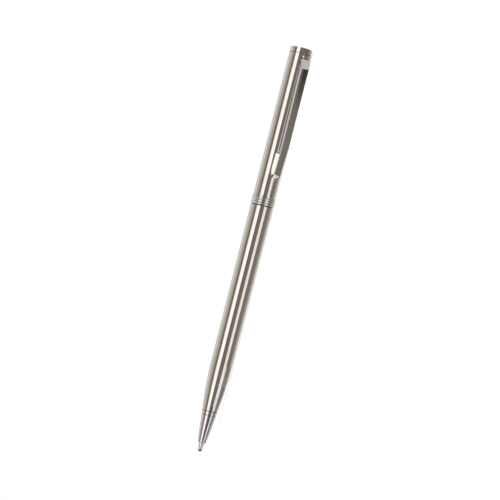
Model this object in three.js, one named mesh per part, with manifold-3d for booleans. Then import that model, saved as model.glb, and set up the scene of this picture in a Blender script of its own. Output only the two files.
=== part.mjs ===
// A slim all-metal twist-action ballpoint pen with its point out.
// Millimetres, +Z up. The pen lies along X with its writing end towards -X. It rests on its
// centre band and on the lower edge of its clip, and the origin is on the desk under its middle.
// Each piece is built in the pen's own frame: +Y runs along the pen from the end of the ball,
// and +Z points from the axis to the middle of the clip.

import * as THREE from 'three';
import { mergeVertices } from 'three/addons/utils/BufferGeometryUtils.js';
import Module from 'manifold-3d';

const wasm = await Module();
wasm.setup();

// Lengths along the pen, from the writing end up
const pointReach = 3.1;
const noseLength = 10.8;
const lowerBarrelLength = 68;
const partingGap = 0.15;
const bandLength = 2.8;
const upperBarrelLength = 47.2;
const finialLength = 1.95;

// Outside radii
const mouthRadius = 1.38;
const noseTopRadius = 2.5;
const noseSeamRadius = 2.53;
const waistRadius = 3.49;
const lowerTopRadius = 3.62;
const upperRadius = 3.55;
const bandRadius = 3.8;
const bandGrooveRadius = 3.62;

// Fits, as radial or axial gaps
const pressGap = 0.05;
const runningGap = 0.1;
const seatGap = 0.05;
const ringRest = 0.02;

// Lower barrel and nose cone
const curveLength = 14.8;
const lowerWall = 0.39;
const shankRadius = 2.1;
const shankLength = 8.1;
const shankBore = 1.7;
const noseGrooveBelowSeam = 1.35;
const noseGrooveWidth = 0.3;
const noseGrooveDepth = 0.12;
const mouthChamfer = 0.12;
const linerWall = 0.3;
const linerLength = 16;
const barrelEdge = 0.1;

// Mechanism core
const ferruleLength = 13.9;
const ferruleEdge = 0.25;
const flangeRadius = 2.95;
const flangeLength = 1.75;
const coreTubeRadius = 2.35;
const coreWall = 0.4;
const washerThickness = 0.8;
const ferruleRingAboveEnd = 6.5;
const ferruleRingThickness = 0.36;
const ringGroovePlay = 0.1;
const dragRingAboveSleeveEnd = 3.2;
const dragRingThickness = 0.26;
const retainerThickness = 0.45;
const retainerDepth = 0.22;
const retainerStand = 0.4;
const retainerGapAngle = THREE.MathUtils.degToRad(50);
const coreTubeEnd = 0.5;

// Twist travel
const twistAngle = Math.PI;
const refillTravel = 5;
const pinRadius = 0.4;
const pinChamfer = 0.08;
const slotAbovePin = 5.6;

// Upper half
const upperWall = 0.45;
const spigotWall = 0.2;
const bandLip = 0.25;
const ridgeCount = 3;
const ridgePitch = 0.775;
const sleeveWall = 0.45;
const sleeveCollarLength = 2;
const spacerWall = 0.2;
const spacerLength = 3.2;
const plugLength = 4.5;
const plugBelowSlot = 0.3;
const studRadius = 0.9;
const studLength = 5.2;
const finialSpigotLength = 0.75;
const finialEdge = 0.3;

// Clip
const slotBelowFinial = 1;
const slotHeight = 1.3;
const slotWidth = 2.9;
const clipLength = 39.2;
const clipRootFace = 4.25;
const clipArmFace = 4.9;
const clipFootFace = 3.95;
const clipRootHalfWidth = 1.52;
const clipArmHalfWidth = 1.42;
const clipFootHalfWidth = 1.27;
const clipShoulderLength = 3.3;
const clipFallLength = 13.5;
const clipFootLength = 7;
const clipFlare = 0.6;
const clipWall = 0.35;
const clipFlankDepth = 1.05;
const clipRestGap = 0.06;
const clipEdge = 0.15;
const tangThickness = 0.4;
const tangWidth = 2.5;
const tangReach = 1.6;

// Refill
const ballRadius = 0.5;
const ballPlay = 0.03;
const ballShown = 0.35;
const pointTaperLength = 3.9;
const pointLength = 11;
const pointBodyRadius = 1.02;
const pointMidLength = 1.3;
const pointMidRadius = 0.72;
const pointShankLength = 3;
const pointCollarLength = 0.4;
const inkBore = 0.3;
const refillRadius = 1.55;
const refillWall = 0.3;
const plungerBelowPin = 7.5;
const plungerAbovePin = 2.5;
const socketBelowPin = 2.1;
const headCollarLength = 1.9;
const headStemLength = 3;
const threadRadius = 1.15;
const threadDepth = 0.15;
const threadPitch = 0.8;
const threadTurns = 5;
const ventBore = 0.35;

// Facets round a full turn
const outerFacets = 28;
const innerFacets = 28;
const fineFacets = 20;

// Heights along the pen
const mouthHeight = pointReach;
const noseTopHeight = mouthHeight + noseLength;
const lowerTopHeight = noseTopHeight + lowerBarrelLength;
const bandBottomHeight = lowerTopHeight + partingGap;
const bandTopHeight = bandBottomHeight + bandLength;
const upperTopHeight = bandTopHeight + upperBarrelLength;
const topHeight = upperTopHeight + finialLength;
const spigotHeight = bandBottomHeight + bandLip + seatGap;
const flangeTopHeight = spigotHeight + flangeLength;
const sleeveBottomHeight = flangeTopHeight + washerThickness + 2 * seatGap;
const slotTopHeight = upperTopHeight - slotBelowFinial;
const slotBottomHeight = slotTopHeight - slotHeight;
const plugTopHeight = slotBottomHeight - plugBelowSlot;
const plugBottomHeight = plugTopHeight - plugLength;
const sleeveTopHeight = plugBottomHeight - spacerLength - 2 * seatGap;
const pinHeight = sleeveTopHeight - slotAbovePin - refillTravel;
const plungerBottomHeight = pinHeight - plungerBelowPin;
const headCollarHeight = plungerBottomHeight - seatGap - headCollarLength;
const refillTopHeight = headCollarHeight - seatGap;

// Radii that follow from the walls and fits
const upperBore = upperRadius - upperWall;
const spigotRadius = upperBore + spigotWall;
const lowerBore = waistRadius - lowerWall;
const linerRadius = lowerBore - pressGap;
const linerBore = linerRadius - linerWall;
const ferruleRadius = linerBore - pressGap;
const coreBore = coreTubeRadius - coreWall;
const sleeveBore = coreTubeRadius + runningGap;
const sleeveRadius = sleeveBore + sleeveWall;
const plugRadius = upperBore - pressGap;
const plungerRadius = coreBore - runningGap;
const ferruleRingRadius = linerBore - ringRest;
const dragRingRadius = sleeveBore - ringRest;
const refillBore = refillRadius - refillWall;
const mouthBore = pointBodyRadius + runningGap;

// The clip's side of the pen hangs down until its lower edge is level with the centre band
const edgeReach = Math.hypot(clipArmFace - clipEdge, clipArmHalfWidth - clipEdge);
const edgeAngle = Math.atan2(clipArmHalfWidth - clipEdge, clipArmFace - clipEdge);
const layAngle = Math.asin((bandRadius - clipEdge) / edgeReach) - edgeAngle;
const deskAngle = Math.PI / 2 - layAngle;
const clipSideReach = edgeReach * Math.cos(layAngle - edgeAngle) + clipEdge;

const finishes = {
  satin: { color: 0xb8b2a6, roughness: 0.28, metalness: 1 },
  chrome: { color: 0xd0d0d6, roughness: 0.08, metalness: 1 },
  brass: { color: 0xc9a45a, roughness: 0.3, metalness: 1 },
  steel: { color: 0xa9abae, roughness: 0.3, metalness: 1 },
  nylon: { color: 0xe6e2d6, roughness: 0.55, metalness: 0 },
  rubber: { color: 0x26262a, roughness: 0.8, metalness: 0 },
  plastic: { color: 0x2b3038, roughness: 0.45, metalness: 0 },
  carbide: { color: 0x77787c, roughness: 0.12, metalness: 1 },
};

function piece(name, geometry, finish) {
  const mesh = new THREE.Mesh(geometry, new THREE.MeshStandardMaterial(finishes[finish]));
  mesh.name = name;
  return mesh;
}

// A solid turned from [radius, height] points, anticlockwise with the axis on the left
function turned(points, facets, closed = true) {
  const outline = points.map(([radius, height]) => new THREE.Vector2(radius, height));
  if (closed) outline.push(outline[0].clone());
  return new THREE.LatheGeometry(outline, facets, deskAngle);
}

function tube(bore, radius, bottom, top, facets) {
  return turned([[bore, bottom], [radius, bottom], [radius, top], [bore, top]], facets);
}

function box(width, height, depth, centre) {
  return new THREE.BoxGeometry(width, height, depth).translate(...centre);
}

function toSolid(geometry) {
  const bare = geometry.clone();
  bare.deleteAttribute('normal');
  bare.deleteAttribute('uv');
  const merged = mergeVertices(bare, 1e-4);
  const kept = [];
  for (let i = 0; i < merged.index.count; i += 3) {
    const corners = [0, 1, 2].map((n) => merged.index.getX(i + n));
    if (new Set(corners).size === 3) kept.push(...corners);
  }
  return new wasm.Manifold(new wasm.Mesh({
    numProp: 3,
    vertProperties: merged.attributes.position.array,
    triVerts: Uint32Array.from(kept),
  }));
}

function toGeometry(solid) {
  const mesh = solid.getMesh();
  const geometry = new THREE.BufferGeometry();
  geometry.setAttribute('position', new THREE.BufferAttribute(mesh.vertProperties, 3));
  geometry.setIndex(new THREE.BufferAttribute(mesh.triVerts, 1));
  geometry.computeVertexNormals();
  return geometry;
}

function carve(geometry, cutters) {
  let solid = toSolid(geometry);
  for (const cutter of cutters) solid = solid.subtract(toSolid(cutter));
  return toGeometry(solid);
}

// A closed solid through a row of outlines with equally many points, with flat ends
function loft(outlines, place) {
  const count = outlines[0].length;
  const positions = outlines.flatMap((outline, n) => outline.flatMap((point) => place(point, n)));
  const faces = [];
  for (let n = 0; n < outlines.length - 1; n += 1) {
    for (let i = 0; i < count; i += 1) {
      const a = n * count + i;
      const b = n * count + ((i + 1) % count);
      faces.push(a, b, b + count, a, b + count, a + count);
    }
  }
  const last = (outlines.length - 1) * count;
  for (const [a, b, c] of THREE.ShapeUtils.triangulateShape(outlines[0], [])) faces.push(c, b, a);
  for (const [a, b, c] of THREE.ShapeUtils.triangulateShape(outlines.at(-1), [])) {
    faces.push(last + a, last + b, last + c);
  }
  const geometry = new THREE.BufferGeometry();
  geometry.setAttribute('position', new THREE.Float32BufferAttribute(positions, 3));
  geometry.setIndex(faces);
  geometry.computeVertexNormals();
  return geometry;
}

// The lower barrel bulges from the nose seam to its full width along one arc
function barrelCurve(steps) {
  const drop = waistRadius - noseSeamRadius;
  const arcRadius = (curveLength ** 2 + drop ** 2) / (2 * drop);
  return Array.from({ length: steps + 1 }, (_, i) => {
    const left = curveLength * (1 - i / steps);
    const radius = waistRadius - arcRadius + Math.sqrt(arcRadius ** 2 - left ** 2);
    return [radius, noseTopHeight + curveLength - left];
  });
}

function lowerBarrel() {
  const shankTop = noseTopHeight + shankLength + runningGap;
  return turned([
    ...barrelCurve(7),
    [lowerTopRadius, lowerTopHeight - barrelEdge],
    [lowerTopRadius - barrelEdge, lowerTopHeight],
    [lowerBore, lowerTopHeight],
    [lowerBore, Math.max(noseTopHeight + curveLength, shankTop + lowerBore)],
    [shankRadius + pressGap, shankTop],
    [shankRadius + pressGap, noseTopHeight],
  ], outerFacets);
}

function noseCone() {
  const seam = noseTopHeight - seatGap;
  const slope = (noseTopRadius - mouthRadius) / (seam - mouthHeight);
  const outside = (height) => noseTopRadius - slope * (seam - height);
  const groove = seam - noseGrooveBelowSeam;
  return turned([
    [mouthBore, mouthHeight],
    [mouthRadius - mouthChamfer, mouthHeight],
    [outside(mouthHeight + mouthChamfer), mouthHeight + mouthChamfer],
    [outside(groove - noseGrooveWidth / 2), groove - noseGrooveWidth / 2],
    [outside(groove) - noseGrooveDepth, groove],
    [outside(groove + noseGrooveWidth / 2), groove + noseGrooveWidth / 2],
    [noseTopRadius, seam],
    [shankRadius, seam],
    [shankRadius, noseTopHeight + shankLength],
    [shankBore, noseTopHeight + shankLength],
    [shankBore, pointLength - pointCollarLength],
    [mouthBore, pointLength - 3 * pointCollarLength],
  ], outerFacets);
}

function socketLiner() {
  const top = lowerTopHeight - runningGap;
  return tube(linerBore, linerRadius, top - linerLength, top, innerFacets);
}

const ferruleBottomHeight = bandBottomHeight - ferruleLength;
const ferruleRingHeight = ferruleBottomHeight + ferruleRingAboveEnd;
const dragRingHeight = sleeveBottomHeight + dragRingAboveSleeveEnd;
const retainerHeight = sleeveTopHeight + seatGap;

// The outline of a ring groove in the guide tube's outside, from its lower edge up
function ringGroove(radius, floor, centre, thickness) {
  const half = (thickness + ringGroovePlay) / 2;
  return [
    [radius, centre - half], [floor, centre - half],
    [floor, centre + half], [radius, centre + half],
  ];
}

function guideTube() {
  const top = retainerHeight + retainerThickness + coreTubeEnd;
  const retainerMiddle = retainerHeight + retainerThickness / 2;
  const body = turned([
    [coreBore, ferruleBottomHeight],
    [ferruleRadius - ferruleEdge, ferruleBottomHeight],
    [ferruleRadius, ferruleBottomHeight + ferruleEdge],
    ...ringGroove(ferruleRadius, ferruleRingRadius - ferruleRingThickness - ringRest,
      ferruleRingHeight, ferruleRingThickness),
    [ferruleRadius, spigotHeight],
    [flangeRadius, spigotHeight],
    [flangeRadius, flangeTopHeight],
    [coreTubeRadius, flangeTopHeight],
    ...ringGroove(coreTubeRadius, dragRingRadius - dragRingThickness - ringRest,
      dragRingHeight, dragRingThickness),
    ...ringGroove(coreTubeRadius, coreTubeRadius - retainerDepth, retainerMiddle, retainerThickness),
    [coreTubeRadius, top],
    [coreBore, top],
  ], innerFacets);
  const slotWide = 2 * (pinRadius + runningGap);
  const slotLong = refillTravel + slotWide;
  const middle = pinHeight + refillTravel / 2;
  return carve(body, [box(4 * coreTubeRadius, slotLong, slotWide, [0, middle, 0])]);
}

// A round-section ring that lies in a groove and stands out to a given radius
function ring(outside, thickness, height) {
  const shape = new THREE.TorusGeometry(outside - thickness / 2, thickness / 2, 8, innerFacets);
  return shape.rotateX(Math.PI / 2).translate(0, height, 0);
}

function retainingRing() {
  const inside = coreTubeRadius - retainerDepth + pressGap;
  const outside = coreTubeRadius + retainerStand;
  const from = retainerGapAngle / 2;
  const to = 2 * Math.PI - from;
  const shape = new THREE.Shape();
  shape.absarc(0, 0, outside, from, to, false);
  shape.absarc(0, 0, inside, to, from, true);
  const settings = { depth: retainerThickness, bevelEnabled: false, curveSegments: fineFacets };
  const body = new THREE.ExtrudeGeometry(shape, settings);
  return body.rotateX(-Math.PI / 2).translate(0, retainerHeight, 0);
}

function upperBarrel() {
  const body = turned([
    [upperBore, spigotHeight],
    [spigotRadius, spigotHeight],
    [spigotRadius, bandTopHeight + seatGap],
    [upperRadius, bandTopHeight + seatGap],
    [upperRadius, upperTopHeight],
    [upperBore, upperTopHeight],
  ], outerFacets);
  const middle = (slotTopHeight + slotBottomHeight) / 2;
  return carve(body, [box(slotWidth, slotHeight, 2 * upperRadius, [0, middle, upperRadius])]);
}

function centreBand() {
  const bore = spigotRadius + pressGap;
  const ridges = [];
  for (let n = 0; n < ridgeCount; n += 1) {
    const start = bandBottomHeight + n * ridgePitch;
    for (let step = 0; step < 4; step += 1) {
      const along = step / 4;
      const rise = Math.sin(Math.PI * along);
      ridges.push([bandGrooveRadius + (bandRadius - bandGrooveRadius) * rise, start + along * ridgePitch]);
    }
  }
  return turned([
    [ferruleRadius + runningGap, bandBottomHeight],
    ...ridges,
    [bandGrooveRadius, bandBottomHeight + ridgeCount * ridgePitch],
    [(bandGrooveRadius + bandRadius) / 2, bandTopHeight - barrelEdge],
    [upperRadius, bandTopHeight],
    [bore, bandTopHeight],
    [bore, bandBottomHeight + bandLip],
    [ferruleRadius + runningGap, bandBottomHeight + bandLip],
  ], outerFacets);
}

// The cutter for one helical slot, which the pin climbs as the upper half turns
function helixCutter(turn) {
  const rise = Math.atan2(refillTravel, twistAngle * (sleeveBore + sleeveWall / 2));
  const wide = (2 * (pinRadius + runningGap)) / Math.cos(rise);
  const spare = (pinRadius + 2 * runningGap) / sleeveBore;
  const inside = sleeveBore - sleeveWall;
  const outside = sleeveRadius + 2 * sleeveWall;
  const outline = [
    new THREE.Vector2(inside, -wide / 2), new THREE.Vector2(outside, -wide / 2),
    new THREE.Vector2(outside, wide / 2), new THREE.Vector2(inside, wide / 2),
  ];
  const steps = 18;
  const outlines = Array.from({ length: steps + 1 }, () => outline);
  return loft(outlines, (point, n) => {
    const angle = spare - (twistAngle + 2 * spare) * (n / steps);
    const height = pinHeight - (refillTravel * angle) / twistAngle;
    const around = angle + turn;
    return [point.x * Math.cos(around), height + point.y, -point.x * Math.sin(around)];
  });
}

function driveSleeve() {
  const body = turned([
    [sleeveBore, sleeveBottomHeight],
    [plugRadius, sleeveBottomHeight],
    [plugRadius, sleeveBottomHeight + sleeveCollarLength],
    [sleeveRadius, sleeveBottomHeight + sleeveCollarLength + sleeveWall],
    [sleeveRadius, sleeveTopHeight - sleeveCollarLength - sleeveWall],
    [plugRadius, sleeveTopHeight - sleeveCollarLength],
    [plugRadius, sleeveTopHeight],
    [sleeveBore, sleeveTopHeight],
  ], innerFacets);
  return carve(body, [helixCutter(0), helixCutter(Math.PI)]);
}

function clipPlug() {
  const bore = studRadius + runningGap;
  return tube(bore, plugRadius, plugBottomHeight, plugTopHeight, innerFacets);
}

function finial() {
  const seat = upperTopHeight + seatGap;
  const spigotEnd = upperTopHeight - finialSpigotLength;
  const edge = [0, 1, 2, 3].map((step) => {
    const angle = (step / 3) * (Math.PI / 2);
    const radius = upperRadius - finialEdge * (1 - Math.cos(angle));
    return [radius, topHeight - finialEdge * (1 - Math.sin(angle))];
  });
  return turned([
    [0, spigotEnd - studLength],
    [studRadius, spigotEnd - studLength],
    [studRadius, spigotEnd],
    [plugRadius, spigotEnd],
    [plugRadius, seat],
    [upperRadius, seat],
    ...edge,
    [0, topHeight],
  ], outerFacets, false);
}

// Height of the clip's root above its foot, and the stations between them, from the root down
const tangHeight = (slotTopHeight + slotBottomHeight) / 2;
const clipTopHeight = tangHeight + tangThickness / 2;

function clipStations() {
  const foot = clipTopHeight - clipLength;
  const shoulder = clipTopHeight - clipShoulderLength;
  const fall = foot + clipFallLength;
  const stations = [clipTopHeight, shoulder + 0.4, shoulder - 0.4, shoulder - 1.6, fall];
  const steps = 9;
  for (let n = 1; n <= steps; n += 1) stations.push(fall - (clipFallLength * n) / steps);
  return stations;
}

// The clip's folded section at one height: a flat face with a flank down each side
function clipOutline(height) {
  const { lerp, clamp, smoothstep } = THREE.MathUtils;
  const below = clipTopHeight - height;
  const aboveFoot = clipLength - below;
  const onShoulder = clamp(1 - below / clipShoulderLength, 0, 1);
  const fallen = clamp(1 - aboveFoot / clipFallLength, 0, 1);
  const footed = 1 - smoothstep(aboveFoot, clipFootLength * 0.35, clipFootLength);
  const face = lerp(clipArmFace, clipRootFace, onShoulder)
    - (clipArmFace - clipFootFace) * fallen ** 2;
  const armWidth = lerp(clipArmHalfWidth, clipFootHalfWidth, clamp(below / clipLength, 0, 1));
  const half = lerp(armWidth, clipRootHalfWidth, onShoulder);
  const flank = face - clipFlankDepth * (1 + footed);
  const barrel = (x) => Math.sqrt((upperRadius + clipRestGap) ** 2 - x ** 2);
  const hem = (x) => Math.max(flank, barrel(x));
  const inner = half - clipWall;
  const under = face - clipWall;
  const outerFoot = half + clipFlare * footed;
  const innerFoot = inner + clipFlare * footed;
  const right = [
    [outerFoot, hem(outerFoot)],
    [half, face - clipEdge],
    [half - clipEdge * (1 - Math.SQRT1_2), face - clipEdge * (1 - Math.SQRT1_2)],
    [half - clipEdge, face],
  ];
  const inside = [
    [innerFoot, hem(innerFoot)],
    [inner, Math.max(under, barrel(inner))],
    [0, Math.max(under, barrel(0))],
  ];
  const left = right.map(([x, z]) => [-x, z]).reverse();
  const insideLeft = inside.slice(0, 2).map(([x, z]) => [-x, z]);
  return [...right, ...left, ...insideLeft, ...inside.reverse()]
    .map(([x, z]) => new THREE.Vector2(x, z));
}

function clip() {
  const stations = clipStations();
  const blade = loft(stations.map(clipOutline), (point, n) => [point.x, stations[n], point.y]);
  const tangTop = clipRootFace - clipWall / 2;
  const tang = box(tangWidth, tangThickness, tangTop - tangReach,
    [0, tangHeight, (tangTop + tangReach) / 2]);
  return toGeometry(toSolid(blade).add(toSolid(tang)));
}

// The seat lies round the ball from its lip to the ink bore
function refillPoint() {
  const seatRadius = ballRadius + ballPlay;
  const lip = ballShown;
  const lipBore = Math.sqrt(seatRadius ** 2 - (ballRadius - lip) ** 2);
  const startAngle = Math.asin((lip - ballRadius) / seatRadius);
  const endAngle = Math.acos(inkBore / seatRadius);
  const seat = [0, 1, 2, 3, 4].map((step) => {
    const angle = endAngle + (startAngle - endAngle) * (step / 4);
    return [seatRadius * Math.cos(angle), ballRadius + seatRadius * Math.sin(angle)];
  });
  return turned([
    ...seat,
    [lipBore + 2 * ballPlay, lip],
    [pointMidRadius, pointMidLength],
    [pointBodyRadius, pointTaperLength],
    [pointBodyRadius, pointLength - pointCollarLength],
    [refillRadius - runningGap, pointLength - seatGap],
    [refillBore - pressGap, pointLength - seatGap],
    [refillBore - pressGap, pointLength + pointShankLength],
    [inkBore, pointLength + pointShankLength],
  ], fineFacets);
}

function refillHead() {
  const threadRoot = threadRadius - threadDepth;
  const start = plungerBottomHeight;
  const crests = [];
  for (let n = 0; n < threadTurns; n += 1) {
    const base = start + n * threadPitch;
    crests.push([threadRoot, base + threadPitch * 0.25], [threadRadius, base + threadPitch * 0.5]);
    crests.push([threadRadius, base + threadPitch * 0.7], [threadRoot, base + threadPitch * 0.95]);
  }
  const end = start + (threadTurns + 0.25) * threadPitch;
  return turned([
    [ventBore, refillTopHeight - headStemLength],
    [refillBore - pressGap, refillTopHeight - headStemLength],
    [refillBore - pressGap, headCollarHeight],
    [refillRadius, headCollarHeight],
    [refillRadius, headCollarHeight + headCollarLength],
    [threadRoot, headCollarHeight + headCollarLength],
    ...crests,
    [threadRoot, end],
    [ventBore, end],
  ], fineFacets);
}

function plunger() {
  const socket = threadRadius + pressGap;
  const ceiling = pinHeight - socketBelowPin;
  const top = pinHeight + plungerAbovePin;
  const body = turned([
    [0, ceiling],
    [socket, ceiling],
    [socket, plungerBottomHeight],
    [plungerRadius, plungerBottomHeight],
    [plungerRadius, top - ferruleEdge],
    [plungerRadius - ferruleEdge, top],
    [0, top],
  ], innerFacets, false);
  const hole = new THREE.CylinderGeometry(
    pinRadius + pressGap, pinRadius + pressGap, 4 * plungerRadius, 16,
  );
  return carve(body, [hole.rotateZ(Math.PI / 2).translate(0, pinHeight, 0)]);
}

function drivePin() {
  const half = sleeveRadius - pressGap;
  const body = turned([
    [0, -half], [pinRadius - pinChamfer, -half], [pinRadius, -half + pinChamfer],
    [pinRadius, half - pinChamfer], [pinRadius - pinChamfer, half], [0, half],
  ], 16, false);
  return body.rotateZ(Math.PI / 2).translate(0, pinHeight, 0);
}

function writingBall() {
  return new THREE.SphereGeometry(ballRadius, fineFacets, 12).translate(0, ballRadius, 0);
}

const washerHeight = flangeTopHeight + seatGap;
const washerTopHeight = washerHeight + washerThickness;
const spacerBottomHeight = sleeveTopHeight + seatGap;

const lowerHalf = new THREE.Group().add(
  piece('lower_barrel', lowerBarrel(), 'satin'),
  piece('nose_cone', noseCone(), 'chrome'),
  piece('socket_liner', socketLiner(), 'brass'),
);

const mechanismCore = new THREE.Group().add(
  piece('guide_tube', guideTube(), 'brass'),
  piece('ferrule_ring', ring(ferruleRingRadius, ferruleRingThickness, ferruleRingHeight), 'rubber'),
  piece('thrust_washer',
    tube(sleeveBore, flangeRadius, washerHeight, washerTopHeight, innerFacets), 'nylon'),
  piece('drag_ring', ring(dragRingRadius, dragRingThickness, dragRingHeight), 'nylon'),
  piece('retaining_ring', retainingRing(), 'steel'),
);

const cap = new THREE.Group().add(
  piece('upper_barrel', upperBarrel(), 'satin'),
  piece('centre_band', centreBand(), 'chrome'),
  piece('drive_sleeve', driveSleeve(), 'steel'),
  piece('sleeve_spacer',
    tube(plugRadius - spacerWall, plugRadius, spacerBottomHeight, plugBottomHeight - seatGap, innerFacets),
    'brass'),
  piece('clip_plug', clipPlug(), 'brass'),
  piece('finial', finial(), 'chrome'),
);

const refill = new THREE.Group().add(
  piece('refill_point', refillPoint(), 'steel'),
  piece('refill_tube', tube(refillBore, refillRadius, pointLength, refillTopHeight, fineFacets), 'brass'),
  piece('refill_head', refillHead(), 'plastic'),
  piece('plunger', plunger(), 'brass'),
  piece('drive_pin', drivePin(), 'steel'),
);

const pen = new THREE.Group().add(
  lowerHalf,
  mechanismCore,
  cap,
  piece('clip', clip(), 'chrome'),
  refill,
  piece('writing_ball', writingBall(), 'carbide'),
);

// Lay the pen along X, roll it onto its clip, and bring its middle over the origin
const across = new THREE.Vector3(0, Math.sin(layAngle), -Math.cos(layAngle));
const along = new THREE.Vector3(1, 0, 0);
const clipward = new THREE.Vector3(0, -Math.cos(layAngle), -Math.sin(layAngle));
pen.setRotationFromMatrix(new THREE.Matrix4().makeBasis(across, along, clipward));
pen.position.set(-topHeight / 2, (clipSideReach - bandRadius) / 2, bandRadius);

export default new THREE.Group().add(pen);
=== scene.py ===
import math

import bmesh
import bpy
from mathutils import Matrix, Vector


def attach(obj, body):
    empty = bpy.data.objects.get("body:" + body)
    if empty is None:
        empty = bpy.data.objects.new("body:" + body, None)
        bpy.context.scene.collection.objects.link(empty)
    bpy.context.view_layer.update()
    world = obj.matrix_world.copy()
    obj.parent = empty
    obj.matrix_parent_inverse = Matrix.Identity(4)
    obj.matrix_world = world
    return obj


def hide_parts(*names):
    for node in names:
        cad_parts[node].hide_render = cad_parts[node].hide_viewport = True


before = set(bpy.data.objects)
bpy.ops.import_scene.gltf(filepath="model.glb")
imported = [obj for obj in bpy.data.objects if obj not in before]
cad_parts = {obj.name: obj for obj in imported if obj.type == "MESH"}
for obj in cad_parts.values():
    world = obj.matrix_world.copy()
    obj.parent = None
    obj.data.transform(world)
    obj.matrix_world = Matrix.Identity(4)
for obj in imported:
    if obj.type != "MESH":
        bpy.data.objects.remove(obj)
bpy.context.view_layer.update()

mm = 0.001
pen = {
    "ballEnd": -67.0,  # where the ball's end lies along the scene's X, mm
    "axisY": 0.513184,
    "axisZ": 3.8,
    "layTurn": 122.9626,  # from clip on top to clip resting on the floor, degrees
    "near": 0.0004,  # points closer than this are one, mm
    "steps": 128,  # faces round a turned piece
    "edgeSteps": 5,  # faces across a rounded edge
    "slotSteps": 4,  # faces across a slot's rounded corner
    "smoothAngle": 35,
    "normalWeight": 90,  # how far large faces decide the shading of an edge
}
axisPoint = Vector((0, pen["axisY"], pen["axisZ"])) * mm


def place(radius, height):  # a point above the pen's axis, at a height from the ball's end, mm
    return axisPoint + Vector((pen["ballEnd"] + height, 0, radius)) * mm


def pickWhere(piece, wanted):  # selects the vertices whose place passes the test
    bpy.ops.mesh.select_all(action="DESELECT")
    shape = bmesh.from_edit_mesh(piece.data)
    for vertex in shape.verts:
        if wanted(piece.matrix_world @ vertex.co):
            vertex.select_set(True)
    shape.select_flush_mode()
    bmesh.update_edit_mesh(piece.data)


def pickPlaces(piece, places):
    pickWhere(piece, lambda spot: any((spot - wanted).length < pen["near"] * mm for wanted in places))


def startPoint(name, spot):  # a mesh of one vertex, in edit mode
    bpy.ops.object.select_all(action="DESELECT")
    bpy.ops.mesh.primitive_plane_add(size=mm, location=spot)
    piece = bpy.context.object
    piece.name = name
    piece.data.name = name
    bpy.ops.object.mode_set(mode="EDIT")
    bpy.ops.mesh.select_mode(type="VERT")
    bpy.ops.mesh.select_all(action="SELECT")
    bpy.ops.mesh.merge(type="CENTER")
    return piece


def applyModifier(piece, kind, **settings):
    modifier = piece.modifiers.new(kind.lower(), kind)
    for key, value in settings.items():
        setattr(modifier, key, value)
    bpy.context.view_layer.objects.active = piece
    bpy.ops.object.modifier_apply(modifier=modifier.name)


def finishPiece(piece, smoothAngle=pen["smoothAngle"]):
    bpy.ops.object.mode_set(mode="OBJECT")
    bpy.ops.object.select_all(action="DESELECT")
    piece.select_set(True)
    bpy.context.view_layer.objects.active = piece
    bpy.ops.object.transform_apply(location=True, rotation=True, scale=True)
    bpy.ops.object.shade_smooth_by_angle(angle=math.radians(smoothAngle))
    applyModifier(piece, "WEIGHTED_NORMAL", keep_sharp=True, mode="FACE_AREA", weight=pen["normalWeight"])


def turned(name, outline, rounded=(), closed=True, steps=pen["steps"], smoothAngle=pen["smoothAngle"]):
    # outline holds radius and height, rounded holds corners by their number in it and the radius of each
    points = [place(radius, height) for radius, height in outline]
    piece = startPoint(name, points[0])
    for start, end in zip(points, points[1:]):
        bpy.ops.mesh.extrude_vertices_move(TRANSFORM_OT_translate={"value": end - start})
    if closed:
        pickPlaces(piece, [points[0], points[-1]])
        bpy.ops.mesh.edge_face_add()
    for corner, radius in rounded:
        pickPlaces(piece, [points[corner]])
        bpy.ops.mesh.bevel(affect="VERTICES", offset=radius * mm, segments=pen["edgeSteps"],
                           clamp_overlap=True)
    bpy.ops.mesh.select_all(action="SELECT")
    bpy.ops.mesh.spin(steps=steps, angle=2 * math.pi, center=axisPoint, axis=(1, 0, 0))
    bpy.ops.mesh.select_all(action="SELECT")
    bpy.ops.mesh.remove_doubles(threshold=pen["near"] * mm)
    bpy.ops.mesh.normals_make_consistent(inside=False)
    finishPiece(piece, smoothAngle)
    return piece


def settle(piece, body, slot, material, *nodes):
    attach(piece, body)
    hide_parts(*nodes)
    piece.data.materials.clear()
    piece.data.materials.append(material)


# materials

patterns = {
    "markDetail": 4.0, "markRoughness": 0.6,  # tool and brush marks
    "cloudScale": 0.13, "cloudDetail": 3.0, "cloudRoughness": 0.5,  # their slow change of tint
    "smudgeDetail": 5.0, "smudgeRoughness": 0.55, "smudgeWarp": 0.4, "smudgeStart": 0.46, "smudgeFull": 0.68,
    # flecks in the painted valley shade and the dark lines, and how much the painted shade dulls
    "fleckDetail": 3.0, "valleyShadeFleck": 1500.0, "valleyShadeUneven": 0.08, "valleyShadeDulls": 0.4,
    "lineFleck": 700.0, "lineUneven": 0.12, "lineEdge": 0.06, "lineColour": (0.08, 0.07, 0.07),
}


def newGroup(name, inputs, outputs):  # inputs and outputs hold each socket's title and kind
    group = bpy.data.node_groups.new(name, "ShaderNodeTree")
    for direction, sockets in (("INPUT", inputs), ("OUTPUT", outputs)):
        for title, kind in sockets.items():
            group.interface.new_socket(title, in_out=direction, socket_type="NodeSocket" + kind)
    start = group.nodes.new("NodeGroupInput")
    end = group.nodes.new("NodeGroupOutput")
    return group, start, end


def addNode(tree, kind, settings=None, values=None):
    node = tree.nodes.new(kind)
    for key, value in (settings or {}).items():
        setattr(node, key, value)
    for key, value in (values or {}).items():
        node.inputs[key].default_value = value
    return node


def tintBy(group, mask, first, second):  # the first colour, and the second where the mask is 1
    tint = addNode(group, "ShaderNodeMix", {"data_type": "RGBA"})
    for source, socket in ((mask, "Factor"), (first, "A"), (second, "B")):
        group.links.new(source, tint.inputs[socket])
    return tint.outputs["Result"]


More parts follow.
